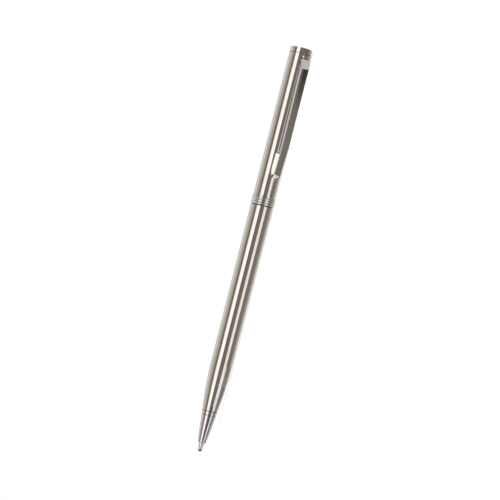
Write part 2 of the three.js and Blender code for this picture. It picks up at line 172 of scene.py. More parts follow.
def unevenBy(group, coordinates, distance, scale, amount):  # a distance that flecks make uneven
    fleck = addNode(group, "ShaderNodeTexNoise", None, {"Scale": scale, "Detail": patterns["fleckDetail"]})
    uneven = addNode(group, "ShaderNodeMath", {"operation": "MULTIPLY_ADD"}, {1: amount})
    group.links.new(coordinates.outputs["Object"], fleck.inputs["Vector"])
    group.links.new(fleck.outputs[0], uneven.inputs[0])
    group.links.new(distance, uneven.inputs[2])
    return uneven.outputs[0]


def makeTooledGroup():  # fine tool or brush marks, drawn out along or round the pen by Stretch
    group, start, end = newGroup(
        "tooledMetal",
        {"Colour": "Color", "Shade Colour": "Color", "Roughness": "Float", "Spread": "Float",
         "Stretch": "Vector"},
        {"Colour": "Color", "Roughness": "Float", "Height": "Float"})
    coordinates = addNode(group, "ShaderNodeTexCoord")
    stretch = addNode(group, "ShaderNodeVectorMath", {"operation": "MULTIPLY"})
    marks = addNode(group, "ShaderNodeTexNoise", None,
                    {"Scale": 1.0, "Detail": patterns["markDetail"], "Roughness": patterns["markRoughness"]})
    wide = addNode(group, "ShaderNodeVectorMath", {"operation": "SCALE"}, {"Scale": patterns["cloudScale"]})
    clouds = addNode(group, "ShaderNodeTexNoise", None,
                     {"Scale": 1.0, "Detail": patterns["cloudDetail"],
                      "Roughness": patterns["cloudRoughness"]})
    spread = addNode(group, "ShaderNodeMath", {"operation": "MULTIPLY"})
    centre = addNode(group, "ShaderNodeMath", {"operation": "SUBTRACT"}, {1: 0.5})
    rough = addNode(group, "ShaderNodeMath", {"operation": "ADD"})
    link = group.links.new
    link(coordinates.outputs["Object"], stretch.inputs[0])
    link(start.outputs["Stretch"], stretch.inputs[1])
    link(stretch.outputs[0], marks.inputs["Vector"])
    link(stretch.outputs[0], wide.inputs[0])
    link(wide.outputs[0], clouds.inputs["Vector"])
    link(tintBy(group, clouds.outputs[0], start.outputs["Colour"], start.outputs["Shade Colour"]),
         end.inputs["Colour"])
    link(marks.outputs[0], centre.inputs[0])
    link(centre.outputs[0], spread.inputs[0])
    link(start.outputs["Spread"], spread.inputs[1])
    link(start.outputs["Roughness"], rough.inputs[0])
    link(spread.outputs[0], rough.inputs[1])
    link(rough.outputs[0], end.inputs["Roughness"])
    link(marks.outputs[0], end.inputs["Height"])
    return group


def makeHandledGroup():  # finger smudges and rubbed patches
    group, start, end = newGroup(
        "handledFinish",
        {"Colour": "Color", "Smudge Colour": "Color", "Roughness": "Float", "Smudge Roughness": "Float",
         "Patch Scale": "Float", "Amount": "Float"},
        {"Colour": "Color", "Roughness": "Float"})
    coordinates = addNode(group, "ShaderNodeTexCoord")
    patches = addNode(group, "ShaderNodeTexNoise", None,
                      {"Detail": patterns["smudgeDetail"], "Roughness": patterns["smudgeRoughness"],
                       "Distortion": patterns["smudgeWarp"]})
    ramp = addNode(group, "ShaderNodeMapRange", {"interpolation_type": "SMOOTHSTEP"},
                   {"From Min": patterns["smudgeStart"], "From Max": patterns["smudgeFull"]})
    amount = addNode(group, "ShaderNodeMath", {"operation": "MULTIPLY"})
    more = addNode(group, "ShaderNodeMath", {"operation": "MULTIPLY_ADD"})
    link = group.links.new
    link(coordinates.outputs["Object"], patches.inputs["Vector"])
    link(start.outputs["Patch Scale"], patches.inputs["Scale"])
    link(patches.outputs[0], ramp.inputs["Value"])
    link(ramp.outputs["Result"], amount.inputs[0])
    link(start.outputs["Amount"], amount.inputs[1])
    link(amount.outputs[0], more.inputs[0])
    link(start.outputs["Smudge Roughness"], more.inputs[1])
    link(start.outputs["Roughness"], more.inputs[2])
    link(tintBy(group, amount.outputs[0], start.outputs["Colour"], start.outputs["Smudge Colour"]),
         end.inputs["Colour"])
    link(more.outputs[0], end.inputs["Roughness"])
    return group


def makeValleyShadeGroup():  # painted shade in what lies nearer to the pen's axis than the unshaded radius, darker and duller towards the axis
    group, start, end = newGroup(
        "paintedValleyShade",
        {"Colour": "Color", "Valley Shade Colour": "Color", "Roughness": "Float", "Full Shade": "Float",
         "No Shade": "Float"},
        {"Colour": "Color", "Roughness": "Float"})
    coordinates = addNode(group, "ShaderNodeTexCoord")
    across = addNode(group, "ShaderNodeVectorMath", {"operation": "MULTIPLY_ADD"},
                     {1: (0, 1 / mm, 1 / mm), 2: (0, -pen["axisY"], -pen["axisZ"])})
    radius = addNode(group, "ShaderNodeVectorMath", {"operation": "LENGTH"})
    mask = addNode(group, "ShaderNodeMapRange", {"interpolation_type": "SMOOTHSTEP"},
                   {"To Min": 1.0, "To Max": 0.0})
    dull = addNode(group, "ShaderNodeMath", {"operation": "MULTIPLY_ADD"}, {1: patterns["valleyShadeDulls"]})
    link = group.links.new
    link(coordinates.outputs["Object"], across.inputs[0])
    link(across.outputs[0], radius.inputs[0])
    link(unevenBy(group, coordinates, radius.outputs["Value"], patterns["valleyShadeFleck"],
                  patterns["valleyShadeUneven"]), mask.inputs["Value"])
    link(start.outputs["Full Shade"], mask.inputs["From Min"])
    link(start.outputs["No Shade"], mask.inputs["From Max"])
    link(mask.outputs["Result"], dull.inputs[0])
    link(start.outputs["Roughness"], dull.inputs[2])
    link(tintBy(group, mask.outputs["Result"], start.outputs["Colour"], start.outputs["Valley Shade Colour"]),
         end.inputs["Colour"])
    link(dull.outputs[0], end.inputs["Roughness"])
    return group


def makeSeamAndGrooveShadeGroup():  # a dark line round the pen, at a height from the ball's end: a dark joint at a seam, and painted shade where it lies in a groove
    group, start, end = newGroup(
        "seamLineAndGrooveShade",
        {"Colour": "Color", "Line Colour": "Color", "Height": "Float", "Half Width": "Float",
         "Amount": "Float"},
        {"Colour": "Color"})
    coordinates = addNode(group, "ShaderNodeTexCoord")
    parts = addNode(group, "ShaderNodeSeparateXYZ")
    height = addNode(group, "ShaderNodeMath", {"operation": "MULTIPLY_ADD"},
                     {1: 1 / mm, 2: -pen["ballEnd"]})
    away = addNode(group, "ShaderNodeMath", {"operation": "SUBTRACT"})
    apart = addNode(group, "ShaderNodeMath", {"operation": "ABSOLUTE"})
    mask = addNode(group, "ShaderNodeMapRange", {"interpolation_type": "SMOOTHSTEP"},
                   {"From Min": patterns["lineEdge"], "To Min": 1.0, "To Max": 0.0})
    reach = addNode(group, "ShaderNodeMath", {"operation": "ADD"}, {1: patterns["lineEdge"]})
    amount = addNode(group, "ShaderNodeMath", {"operation": "MULTIPLY"})
    link = group.links.new
    link(coordinates.outputs["Object"], parts.inputs[0])
    link(parts.outputs["X"], height.inputs[0])
    link(height.outputs[0], away.inputs[0])
    link(start.outputs["Height"], away.inputs[1])
    link(away.outputs[0], apart.inputs[0])
    link(unevenBy(group, coordinates, apart.outputs[0], patterns["lineFleck"], patterns["lineUneven"]),
         mask.inputs["Value"])
    link(start.outputs["Half Width"], reach.inputs[0])
    link(reach.outputs[0], mask.inputs["From Max"])
    link(mask.outputs["Result"], amount.inputs[0])
    link(start.outputs["Amount"], amount.inputs[1])
    link(tintBy(group, amount.outputs[0], start.outputs["Colour"], start.outputs["Line Colour"]),
         end.inputs["Colour"])
    return group


tooledGroup = makeTooledGroup()
handledGroup = makeHandledGroup()
valleyShadeGroup = makeValleyShadeGroup()
seamAndGrooveShadeGroup = makeSeamAndGrooveShadeGroup()


def makeFinish(name, look):  # stretch is how fine the marks are along X, Y and Z
    material = bpy.data.materials.new(name)
    material.use_nodes = True
    tree = material.node_tree
    tree.nodes.clear()
    end = addNode(tree, "ShaderNodeOutputMaterial")
    shader = addNode(tree, "ShaderNodeBsdfPrincipled", None, {"Metallic": look.get("metallic", 1.0)})
    tooled = addNode(tree, "ShaderNodeGroup", {"node_tree": tooledGroup},
                     {"Colour": (*look["colour"], 1), "Shade Colour": (*look["shade"], 1),
                      "Roughness": look["roughness"], "Spread": look["spread"], "Stretch": look["stretch"]})
    handled = addNode(tree, "ShaderNodeGroup", {"node_tree": handledGroup},
                      {"Smudge Colour": (*look["smudge"], 1), "Smudge Roughness": look["smudgeRoughness"],
                       "Patch Scale": look["patchScale"], "Amount": look["smudges"]})
    bump = addNode(tree, "ShaderNodeBump", None,
                   {"Strength": look["bump"], "Distance": look["bumpDepth"] * mm})
    link = tree.links.new
    link(tooled.outputs["Colour"], handled.inputs["Colour"])
    link(tooled.outputs["Roughness"], handled.inputs["Roughness"])
    surface = handled
    if "valleyShade" in look:
        surface = addNode(tree, "ShaderNodeGroup", {"node_tree": valleyShadeGroup},
                          {"Valley Shade Colour": (*look["valleyShadeColour"], 1), "Full Shade": look["valleyShade"][0],
                           "No Shade": look["valleyShade"][1]})
        link(handled.outputs["Colour"], surface.inputs["Colour"])
        link(handled.outputs["Roughness"], surface.inputs["Roughness"])
    coloured = surface.outputs["Colour"]
    for lineHeight, halfWidth, amount in look.get("lines", ()):
        line = addNode(tree, "ShaderNodeGroup", {"node_tree": seamAndGrooveShadeGroup},
                       {"Line Colour": (*patterns["lineColour"], 1), "Height": lineHeight,
                        "Half Width": halfWidth, "Amount": amount})
        link(coloured, line.inputs["Colour"])
        coloured = line.outputs["Colour"]
    link(coloured, shader.inputs["Base Color"])
    link(surface.outputs["Roughness"], shader.inputs["Roughness"])
    link(tooled.outputs["Height"], bump.inputs["Height"])
    link(bump.outputs[0], shader.inputs["Normal"])
    link(shader.outputs[0], end.inputs["Surface"])
    return material


lengthwise = (150, 5200, 5200)  # marks along the pen
roundwise = (9000, 300, 300)  # marks round the pen
satinSteel = makeFinish("satinSteel", {
    "colour": (0.69, 0.675, 0.655), "shade": (0.655, 0.64, 0.62), "roughness": 0.1, "spread": 0.06,
    "stretch": lengthwise, "smudge": (0.63, 0.6, 0.57), "smudgeRoughness": 0.05, "patchScale": 70.0,
    "smudges": 0.5, "bump": 0.25, "bumpDepth": 0.002, "lines": ((13.88, 0.1, 0.45), (132.1, 0.1, 0.5))})
# its line at 12.5 is painted shade in the nose's groove, the line at 13.75 the seam's dark joint
noseChrome = makeFinish("noseChrome", {
    "colour": (0.69, 0.68, 0.71), "shade": (0.65, 0.64, 0.675), "roughness": 0.045, "spread": 0.03,
    "stretch": roundwise, "smudge": (0.62, 0.61, 0.61), "smudgeRoughness": 0.05, "patchScale": 220.0,
    "smudges": 0.3, "bump": 0.15, "bumpDepth": 0.001,
    "lines": ((12.5, 0.2, 0.6), (13.75, 0.14, 0.6), (11.0, 0.1, 0.25), (9.3, 0.1, 0.2))})
finialChrome = makeFinish("finialChrome", {
    "colour": (0.68, 0.675, 0.69), "shade": (0.64, 0.635, 0.655), "roughness": 0.05, "spread": 0.03,
    "stretch": roundwise, "smudge": (0.6, 0.59, 0.59), "smudgeRoughness": 0.05, "patchScale": 200.0,
    "smudges": 0.4, "bump": 0.15, "bumpDepth": 0.001, "lines": ((132.1, 0.14, 0.8),)})
# painted shade in the grooves between the band's ridges
bandChrome = makeFinish("bandChrome", {
    "colour": (0.79, 0.8, 0.815), "shade": (0.75, 0.76, 0.775), "roughness": 0.05, "spread": 0.03,
    "stretch": roundwise, "smudge": (0.6, 0.59, 0.58), "smudgeRoughness": 0.05, "patchScale": 160.0,
    "smudges": 0.3, "bump": 0.15, "bumpDepth": 0.001, "valleyShade": (3.5, 3.68),
    "valleyShadeColour": (0.09, 0.085, 0.085)})
clipChrome = makeFinish("clipChrome", {
    "colour": (0.70, 0.69, 0.685), "shade": (0.66, 0.65, 0.64), "roughness": 0.06, "spread": 0.03,
    "stretch": (300, 2600, 2600), "smudge": (0.6, 0.58, 0.55), "smudgeRoughness": 0.06, "patchScale": 140.0,
    "smudges": 0.4, "bump": 0.3, "bumpDepth": 0.002})
turnedBrass = makeFinish("turnedBrass", {
    "colour": (0.76, 0.57, 0.27), "shade": (0.66, 0.47, 0.2), "roughness": 0.22, "spread": 0.12,
    "stretch": roundwise, "smudge": (0.5, 0.36, 0.17), "smudgeRoughness": 0.12, "patchScale": 240.0,
    "smudges": 0.6, "bump": 0.5, "bumpDepth": 0.004})
refillBrass = makeFinish("refillBrass", {
    "colour": (0.78, 0.6, 0.3), "shade": (0.72, 0.53, 0.24), "roughness": 0.18, "spread": 0.1,
    "stretch": lengthwise, "smudge": (0.55, 0.4, 0.2), "smudgeRoughness": 0.12, "patchScale": 150.0,
    "smudges": 0.6, "bump": 0.4, "bumpDepth": 0.003})
turnedSteel = makeFinish("turnedSteel", {
    "colour": (0.6, 0.6, 0.61), "shade": (0.5, 0.5, 0.51), "roughness": 0.25, "spread": 0.1,
    "stretch": roundwise, "smudge": (0.42, 0.4, 0.38), "smudgeRoughness": 0.1, "patchScale": 200.0,
    "smudges": 0.5, "bump": 0.5, "bumpDepth": 0.003})
# painted shade at the tip, darker nearer the axis round the ball's seat
nickelSilver = makeFinish("nickelSilver", {
    "colour": (0.84, 0.82, 0.79), "shade": (0.76, 0.73, 0.68), "roughness": 0.05, "spread": 0.04,
    "stretch": roundwise, "smudge": (0.4, 0.34, 0.28), "smudgeRoughness": 0.08, "patchScale": 900.0,
    "smudges": 0.3, "bump": 0.3, "bumpDepth": 0.002, "valleyShade": (0.6, 0.8), "valleyShadeColour": (0.16, 0.11, 0.09)})
ballCarbide = makeFinish("ballCarbide", {
    "colour": (0.5, 0.5, 0.51), "shade": (0.4, 0.4, 0.41), "roughness": 0.12, "spread": 0.08,
    "stretch": (6000, 6000, 6000), "smudge": (0.1, 0.1, 0.16), "smudgeRoughness": 0.15, "patchScale": 2500.0,
    "smudges": 0.5, "bump": 0.4, "bumpDepth": 0.002})
mouldedNylon = makeFinish("mouldedNylon", {
    "colour": (0.82, 0.8, 0.73), "shade": (0.76, 0.73, 0.65), "roughness": 0.45, "spread": 0.15,
    "metallic": 0.0, "stretch": (2500, 2500, 2500), "smudge": (0.62, 0.58, 0.5), "smudgeRoughness": 0.1,
    "patchScale": 300.0, "smudges": 0.5, "bump": 0.6, "bumpDepth": 0.005})
darkPlastic = makeFinish("darkPlastic", {
    "colour": (0.03, 0.033, 0.04), "shade": (0.022, 0.024, 0.03), "roughness": 0.28, "spread": 0.12,
    "metallic": 0.0, "stretch": (2500, 2500, 2500), "smudge": (0.06, 0.06, 0.065), "smudgeRoughness": 0.15,
    "patchScale": 300.0, "smudges": 0.5, "bump": 0.5, "bumpDepth": 0.004})
blackRubber = makeFinish("blackRubber", {
    "colour": (0.018, 0.018, 0.02), "shade": (0.026, 0.026, 0.027), "roughness": 0.62, "spread": 0.2,
    "metallic": 0.0, "stretch": (4000, 4000, 4000), "smudge": (0.05, 0.048, 0.045), "smudgeRoughness": 0.1,
    "patchScale": 400.0, "smudges": 0.5, "bump": 0.7, "bumpDepth": 0.006})
print("materials made")


# lower half

barrel = {
    "seamHeight": 13.9, "seam": 2.53, "waist": 3.49, "waistHeight": 28.7, "curveLength": 14.8,
    "top": 3.62, "topHeight": 81.9, "bore": 3.1, "noseBore": 2.15, "boreStep": 22.1, "curveSteps": 36,
    "parallelSteps": 16, "topRound": 0.12, "seamRound": 0.06,
}


def curveRadius(height):  # the lower barrel's sweep from its parallel part in to the nose
    drop = barrel["waist"] - barrel["seam"]
    arc = (barrel["curveLength"] ** 2 + drop ** 2) / (2 * drop)
    return barrel["waist"] - arc + math.sqrt(arc ** 2 - (barrel["waistHeight"] - height) ** 2)


outline = [(barrel["noseBore"], barrel["seamHeight"]), (barrel["seam"], barrel["seamHeight"])]
for step in range(1, barrel["curveSteps"] + 1):
    height = barrel["seamHeight"] + barrel["curveLength"] * step / barrel["curveSteps"]
    outline.append((curveRadius(height), height))
for step in range(1, barrel["parallelSteps"] + 1):
    share = step / barrel["parallelSteps"]
    outline.append((barrel["waist"] + (barrel["top"] - barrel["waist"]) * share,
                    barrel["waistHeight"] + (barrel["topHeight"] - barrel["waistHeight"]) * share))
topCorner = len(outline) - 1
outline += [(barrel["bore"], barrel["topHeight"]), (barrel["bore"], barrel["waistHeight"]),
            (barrel["noseBore"], barrel["boreStep"])]
lowerBarrel = turned("lowerBarrel", outline, [(topCorner, barrel["topRound"]), (1, barrel["seamRound"])])
settle(lowerBarrel, "lower_half", "satin_steel", satinSteel, "lower_barrel")

nose = {
    "seamHeight": 13.74, "seam": 2.5, "mouthHeight": 3.1, "mouth": 1.38, "bore": 1.12, "shank": 2.1,
    "shankTop": 22.0, "shankBore": 1.7, "boreStep": 10.6, "boreMouth": 9.8, "belly": 0.08,
    "bellyHeights": (6.0, 9.0, 11.0), "groove": 12.5, "grooveWidth": 0.3, "grooveDepth": 0.2,
    "mouthRound": 0.14, "grooveRound": 0.05, "seamRound": 0.06,
}
slope = (nose["seam"] - nose["mouth"]) / (nose["seamHeight"] - nose["mouthHeight"])


def noseRadius(height):
    share = (height - nose["mouthHeight"]) / (nose["seamHeight"] - nose["mouthHeight"])
    return nose["mouth"] + slope * (height - nose["mouthHeight"]) + nose["belly"] * math.sin(math.pi * share)


outline = [(nose["bore"], nose["mouthHeight"]), (nose["mouth"], nose["mouthHeight"])]
outline += [(noseRadius(height), height) for height in nose["bellyHeights"]]
low = nose["groove"] - nose["grooveWidth"] / 2
high = nose["groove"] + nose["grooveWidth"] / 2
outline += [(noseRadius(low), low), (noseRadius(low) - nose["grooveDepth"], low),
            (noseRadius(high) - nose["grooveDepth"], high), (noseRadius(high), high)]
outline += [(nose["seam"], nose["seamHeight"]), (nose["shank"], nose["seamHeight"]),
            (nose["shank"], nose["shankTop"]), (nose["shankBore"], nose["shankTop"]),
            (nose["shankBore"], nose["boreStep"]), (nose["bore"], nose["boreMouth"])]
noseCone = turned("noseCone", outline, [
    (1, nose["mouthRound"]), (5, nose["grooveRound"]), (8, nose["grooveRound"]), (9, nose["seamRound"])])
settle(noseCone, "lower_half", "chrome_trim", noseChrome, "nose_cone")

liner = {"outer": 3.05, "bore": 2.75, "low": 65.8, "top": 81.8, "edge": 0.12}
socketLiner = turned("socketLiner", [
    (liner["bore"], liner["low"]), (liner["outer"], liner["low"]),
    (liner["outer"], liner["top"]), (liner["bore"], liner["top"])], [(3, liner["edge"]), (0, liner["edge"])])
settle(socketLiner, "lower_half", "brass", turnedBrass, "socket_liner")
print("lower half made")


# upper half

upper = {
    "radius": 3.55, "bore": 3.1, "low": 84.9, "top": 132.05, "spigot": 3.3, "spigotLow": 82.35,
    "lowRound": 0.08, "topRound": 0.06, "ringShares": (0.02, 0.25, 0.5, 0.75, 0.98),
    "slotLow": 129.75, "slotTop": 130.85, "slotWidth": 2.9, "slotDepth": 2.4, "slotRound": 0.12,
}
outline = [(upper["bore"], upper["spigotLow"]), (upper["spigot"], upper["spigotLow"]),
           (upper["spigot"], upper["low"]), (upper["radius"], upper["low"])]
for share in upper["ringShares"]:
    outline.append((upper["radius"], upper["low"] + (upper["top"] - upper["low"]) * share))
topCorner = len(outline)
outline += [(upper["radius"], upper["top"]), (upper["bore"], upper["top"])]
upperBarrel = turned("upperBarrel", outline, [(3, upper["lowRound"]), (topCorner, upper["topRound"])])


def turnClipward():  # turns the active piece from clip on top to where the pen lies
    bpy.ops.object.mode_set(mode="EDIT")
    bpy.ops.mesh.select_all(action="SELECT")
    bpy.ops.transform.rotate(value=-math.radians(pen["layTurn"]), orient_axis="X", center_override=axisPoint)
    bpy.ops.object.mode_set(mode="OBJECT")


def cutSlot(piece, middle, size, cornerRound=None):  # a box through the wall, its upright edges rounded
    bpy.ops.object.select_all(action="DESELECT")
    bpy.ops.mesh.primitive_cube_add(size=mm, location=middle)
    cutter = bpy.context.object
    bpy.ops.object.mode_set(mode="EDIT")
    bpy.ops.transform.resize(value=size)
    if cornerRound:
        bpy.ops.mesh.select_mode(type="EDGE")
        bpy.ops.mesh.select_all(action="DESELECT")
        shape = bmesh.from_edit_mesh(cutter.data)
        for edge in shape.edges:
            along = edge.verts[0].co - edge.verts[1].co
            if abs(along.z) > abs(along.x) + abs(along.y):
                edge.select_set(True)
        bmesh.update_edit_mesh(cutter.data)
        bpy.ops.mesh.bevel(offset=cornerRound * mm, segments=pen["slotSteps"])
    bpy.ops.object.mode_set(mode="OBJECT")
    turnClipward()
    bpy.ops.object.select_all(action="DESELECT")
    applyModifier(piece, "BOOLEAN", operation="DIFFERENCE", solver="EXACT", object=cutter)
    bpy.data.objects.remove(cutter)
    finishPiece(piece)


cutSlot(upperBarrel, place(upper["radius"], (upper["slotLow"] + upper["slotTop"]) / 2),
        (upper["slotTop"] - upper["slotLow"], upper["slotWidth"], upper["slotDepth"]), upper["slotRound"])
settle(upperBarrel, "cap", "satin_steel", satinSteel, "upper_barrel")

band = {
    "spigotBore": 3.35, "lip": 2.8, "end": 81.96, "endRadius": 3.44, "low": 82.14, "lipTop": 82.3,
    "groove": 3.5, "ridge": 3.8, "pitch": 0.76, "ridges": 3, "ridgeSteps": 14, "ridgeFullness": 0.8,
    "collar": 3.71, "collarLow": 84.45, "collarTop": 84.75, "top": 84.85, "topRadius": 3.58,
    "smoothAngle": 50,
}
outline = [(band["lip"], band["end"]), (band["endRadius"], band["end"]), (band["endRadius"], band["low"])]
for ridge in range(band["ridges"]):
    for step in range(band["ridgeSteps"]):
        share = step / band["ridgeSteps"]
        rise = math.sin(math.pi * share) ** band["ridgeFullness"]
        outline.append((band["groove"] + (band["ridge"] - band["groove"]) * rise,
                        band["low"] + band["pitch"] * (ridge + share)))
outline += [(band["groove"], band["low"] + band["pitch"] * band["ridges"]),
            (band["collar"], band["collarLow"]), (band["collar"], band["collarTop"]),
            (band["topRadius"], band["top"]), (band["spigotBore"], band["top"]),
            (band["spigotBore"], band["lipTop"]), (band["lip"], band["lipTop"])]
centreBand = turned("centreBand", outline, smoothAngle=band["smoothAngle"])
settle(centreBand, "cap", "chrome_trim", bandChrome, "centre_band")

finial = {
    "low": 132.1, "top": 134.0, "radius": 3.55, "edge": 0.12, "lowEdge": 0.06, "spigot": 3.05,
    "spigotLow": 131.35, "stud": 0.9, "studLow": 126.1, "studRound": 0.15, "crown": 0.06,
    "crownFalls": ((2.4, 0.5), (1.2, 0.12)),  # radius, and share of the crown fallen there
}
outline = [(0, finial["studLow"]), (finial["stud"], finial["studLow"]), (finial["stud"], finial["spigotLow"]),
           (finial["spigot"], finial["spigotLow"]), (finial["spigot"], finial["low"]),
           (finial["radius"], finial["low"]), (finial["radius"], finial["top"] - finial["crown"])]
outline += [(radius, finial["top"] - finial["crown"] * share) for radius, share in finial["crownFalls"]]
outline += [(0, finial["top"])]
finialCap = turned("finialCap", outline, [
    (6, finial["edge"]), (5, finial["lowEdge"]), (1, finial["studRound"])], closed=False)
settle(finialCap, "cap", "chrome_trim", finialChrome, "finial")
print("upper half made")


# clip

clip = {
    "top": 130.2, "shoulderLow": 127.3, "fallTop": 104.9, "foot": 91.4,
    "rootFace": 4.33, "armFace": 4.9, "footFace": 4.15,  # the outer face, from the pen's axis
    "rootHalf": 1.5, "armHalf": 1.42, "footHalf": 1.27,  # half the face's width
    "armFlank": 1.4, "footFlank": 1.42, "endFlank": 0.75, "shoulderFlank": 0.25,
    "footSplay": 31.8, "footTop": 100.3, "footFull": 99.3, "footFade": 94.6,
    "lip": 0.62, "lipDrop": 0.3, "lipRound": 0.1, "lipNarrows": 0.12, "lipFlank": 0.3, "roundFlank": 0.1,
    "shoulderHeights": (129.6, 129.0, 128.2, 127.6, 127.38, 127.22, 127.0, 126.4, 125.0, 120.0, 113.0),
    "fallSteps": 18, "footHeights": (100.4, 100.0, 99.65, 99.3),
    "lipRises": (0.56, 0.45, 0.33, 0.21, 0.1, 0.05, 0.02, 0.0),
    "tangBend": ((0.24, 0.06), (0.37, 0.19), (0.4, 0.4)),  # how far up and in the sheet bends to the slot
    "tangNeck": 3.0, "tangHalf": 1.2, "tangLow": 1.6,
    "wall": 0.33, "bend": 0.17, "bendSteps": 4, "rim": 0.05, "rimSteps": 3, "rimAngle": 50,
    "near": 0.001, "faceNear": 0.02, "smoothAngle": 40,
}


def clamp(value):
    return max(0.0, min(1.0, value))


def smoothly(value, low, high):
    share = clamp((value - low) / (high - low))
    return share * share * (3 - 2 * share)


def clipSection(height):  # face height, half width, and the flank's hem (half width, height)
    below = clip["top"] - height
    onShoulder = clamp(1 - below / (clip["top"] - clip["shoulderLow"]))
    fallen = clamp((clip["fallTop"] - height) / (clip["fallTop"] - clip["foot"]))
    face = clip["armFace"] + (clip["rootFace"] - clip["armFace"]) * onShoulder
    face -= (clip["armFace"] - clip["footFace"]) * fallen ** 2
    arm = clip["armHalf"] + (clip["footHalf"] - clip["armHalf"]) * below / (clip["top"] - clip["foot"])
    half = arm + (clip["rootHalf"] - arm) * onShoulder
    footed = 1 - smoothly(height, clip["footFull"], clip["footTop"])
    fading = smoothly(clip["footFade"] - height, 0, clip["footFade"] - clip["foot"])
    splay = math.radians(clip["footSplay"] * footed)
    flank = clip["armFlank"] + (clip["footFlank"] - clip["armFlank"]) * footed
    flank -= clip["shoulderFlank"] * onShoulder + (clip["footFlank"] - clip["endFlank"]) * fading
    rolled = clamp((clip["foot"] + clip["lip"] - height) / (clip["lip"] - clip["lipRound"]))
    ended = clamp((clip["foot"] + clip["lipRound"] - height) / clip["lipRound"])
    face -= clip["lipDrop"] * rolled + clip["lipRound"] * ended ** 2  # the end turns down to the barrel
    half -= clip["lipNarrows"] * rolled ** 2 + clip["lipNarrows"] * ended ** 2
    flank -= clip["lipFlank"] * rolled + clip["roundFlank"] * ended
    return face, half, half + flank * math.sin(splay), face - flank * math.cos(splay)


def atHeight(spot, height):
    return abs(spot.x - place(0, height).x) < clip["near"] * mm


heights = [clip["top"], *clip["shoulderHeights"], *clip["footHeights"]]
heights += [clip["fallTop"] + (clip["foot"] + clip["lip"] - clip["fallTop"]) * step / clip["fallSteps"]
            for step in range(clip["fallSteps"] + 1)]
heights += [clip["foot"] + rise for rise in clip["lipRises"]]
heights.sort(reverse=True)
face, half, hemHalf, hem = clipSection(heights[0])
topFace, topHalf = face, half
corner = place(face, heights[0]) + Vector((0, half, 0)) * mm
clipArm = startPoint("clipArm", place(face, heights[0]))
section = [(0, face), (half * 0.5, face), (half, face), (hemHalf, hem)]
for start, end in zip(section, section[1:]):
    bpy.ops.mesh.extrude_vertices_move(TRANSFORM_OT_translate={
        "value": Vector((0, end[0] - start[0], end[1] - start[1])) * mm})
pickPlaces(clipArm, [corner])
bpy.ops.mesh.bevel(affect="VERTICES", offset=clip["bend"] * mm, segments=clip["bendSteps"])
for height, nextHeight in zip(heights, heights[1:]):
    nextFace, nextHalf, nextHemHalf, nextHem = clipSection(nextHeight)
    pickWhere(clipArm, lambda spot: atHeight(spot, height))
    bpy.ops.mesh.extrude_region_move(TRANSFORM_OT_translate={
        "value": Vector((nextHeight - height, 0, nextFace - face)) * mm})
    bpy.ops.transform.resize(value=(1, nextHalf / half, 1), center_override=axisPoint)
    hemLevel = place(hem + nextFace - face + clip["near"], 0).z
    pickWhere(clipArm, lambda spot: atHeight(spot, nextHeight) and spot.z < hemLevel)
    bpy.ops.transform.translate(value=Vector((0, nextHemHalf - hemHalf * nextHalf / half,
                                              nextHem - (hem + nextFace - face))) * mm)
    face, half, hemHalf, hem = nextFace, nextHalf, nextHemHalf, nextHem
faceLevel = place(topFace - clip["faceNear"], 0).z
pickWhere(clipArm, lambda spot: atHeight(spot, heights[0]) and spot.z > faceLevel)  # where the tang starts
tang = [(clip["top"], topFace)]
tang += [(clip["top"] + rise, topFace - fall) for rise, fall in clip["tangBend"]]
tangHeight = tang[-1][0]
tang += [(tangHeight, clip["tangNeck"]), (tangHeight, clip["tangLow"])]
for (height, radius), (nextHeight, nextRadius) in zip(tang, tang[1:]):
    bpy.ops.mesh.extrude_region_move(TRANSFORM_OT_translate={
        "value": Vector((nextHeight - height, 0, nextRadius - radius)) * mm})
    if nextRadius == clip["tangNeck"]:
        bpy.ops.transform.resize(value=(1, clip["tangHalf"] / topHalf, 1), center_override=axisPoint)
bpy.ops.object.mode_set(mode="OBJECT")
bpy.ops.object.select_all(action="DESELECT")
clipArm.select_set(True)
bpy.context.view_layer.objects.active = clipArm
bpy.context.scene.cursor.location = axisPoint
bpy.ops.object.origin_set(type="ORIGIN_CURSOR")
applyModifier(clipArm, "MIRROR", use_axis=(False, True, False), merge_threshold=clip["near"] * mm)
bpy.ops.object.mode_set(mode="EDIT")
bpy.ops.mesh.select_all(action="SELECT")
bpy.ops.mesh.normals_make_consistent(inside=False)
bpy.ops.object.mode_set(mode="OBJECT")
upward = sum(polygon.normal.z * polygon.area for polygon in clipArm.data.polygons)
if upward < 0:  # the wall grows inwards only from outward faces
    bpy.ops.object.mode_set(mode="EDIT")
    bpy.ops.mesh.flip_normals()
    bpy.ops.object.mode_set(mode="OBJECT")
applyModifier(clipArm, "SOLIDIFY", thickness=clip["wall"] * mm, offset=-1.0, use_even_offset=True)
applyModifier(clipArm, "BEVEL", width=clip["rim"] * mm, segments=clip["rimSteps"], limit_method="ANGLE",
              angle_limit=math.radians(clip["rimAngle"]))
turnClipward()
finishPiece(clipArm, clip["smoothAngle"])
settle(clipArm, "clip", "chrome_trim", clipChrome, "clip")
print("clip made")


# refill and mechanism

point = {
    "seat": ((0, 0.9), (0.52, 0.72), (0.53, 0.5), (0.505, 0.36)),  # inside, round the ball
    "cone": ((0.56, 0.36), (0.72, 1.3), (0.76, 1.42), (1.0, 3.75)),
    "body": 1.02, "bodyLow": 3.95, "collar": 1.45, "collarLow": 10.6, "collarTop": 10.95,
    "stem": 1.2, "stemTop": 14.0, "collarRound": 0.1,
}
outline = [*point["seat"], *point["cone"], (point["body"], point["bodyLow"]),
           (point["body"], point["collarLow"]), (point["collar"], point["collarLow"]),
           (point["collar"], point["collarTop"]), (point["stem"], point["collarTop"]),
           (point["stem"], point["stemTop"]), (0, point["stemTop"])]
refillPoint = turned("refillPoint", outline, [(10, point["collarRound"]), (11, point["collarRound"])],
                     closed=False)
settle(refillPoint, "refill", "nickel_silver", nickelSilver, "refill_point")

